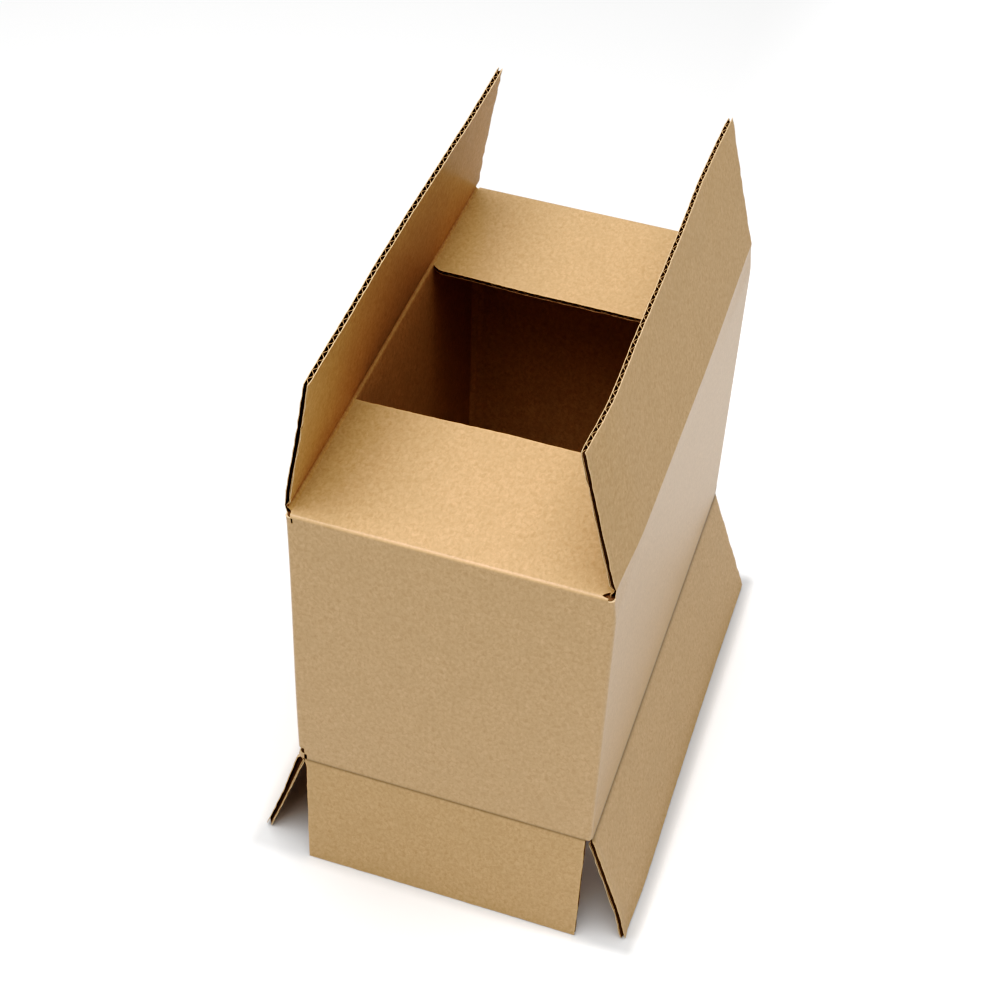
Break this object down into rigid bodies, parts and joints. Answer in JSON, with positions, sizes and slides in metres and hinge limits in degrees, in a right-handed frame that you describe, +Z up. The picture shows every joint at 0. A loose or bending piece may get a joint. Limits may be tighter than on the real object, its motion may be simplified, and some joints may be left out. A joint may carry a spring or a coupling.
{
  "type": "open cardboard box",
  "caption": "Upright open corrugated kraft carton: short top flaps tucked in, long top flaps standing, bottom flaps unfolded and splayed as its feet.",
  "frame": {"origin": "centre of the box's footprint, on the floor it stands on", "axes": "+Z up; +X to the right side, across the narrow width; -Y to the front, along the longer side"},
  "size_m": [0.2258, 0.3038, 0.3674],
  "materials": {
    "body_board": "matt kraft liner with fine fibre fleck",
    "top_flap_board": "matt kraft liner with fine fibre fleck",
    "bottom_flap_board": "matt kraft liner with fine fibre fleck"
  },
  "bodies": {
    "body": {"carton_body": "body_board"},
    "left_top": {"left_top_flap": "top_flap_board"},
    "right_top": {"right_top_flap": "top_flap_board"},
    "left_bottom": {"left_bottom_flap": "bottom_flap_board"},
    "right_bottom": {"right_bottom_flap": "bottom_flap_board"},
    "front_bottom": {"front_bottom_flap": "bottom_flap_board"},
    "back_bottom": {"back_bottom_flap": "bottom_flap_board"}
  },
  "joints": [
    {"name": "left_top_fold", "type": "hinge", "parent": "body", "child": "left_top", "pos_m": [-0.085, 0, 0.2837], "axis": [0, -1, 0], "range_deg": [-80.4, 179.2]},
    {"name": "right_top_fold", "type": "hinge", "parent": "body", "child": "right_top", "pos_m": [0.085, 0, 0.2837], "axis": [0, 1, 0], "range_deg": [-74.3, 185.3]},
    {"name": "left_bottom_fold", "type": "hinge", "parent": "body", "child": "left_bottom", "pos_m": [-0.085, 0, 0.0813], "axis": [0, 1, 0], "range_deg": [-108.6, 150.8]},
    {"name": "right_bottom_fold", "type": "hinge", "parent": "body", "child": "right_bottom", "pos_m": [0.085, 0, 0.0813], "axis": [0, -1, 0], "range_deg": [-108.6, 150.8]},
    {"name": "front_bottom_fold", "type": "hinge", "parent": "body", "child": "front_bottom", "pos_m": [0, -0.145, 0.0845], "axis": [-1, 0, 0], "range_deg": [-94.6, 165.3]},
    {"name": "back_bottom_fold", "type": "hinge", "parent": "body", "child": "back_bottom", "pos_m": [0, 0.145, 0.0845], "axis": [1, 0, 0], "range_deg": [-94.6, 165.3]}
  ]
}
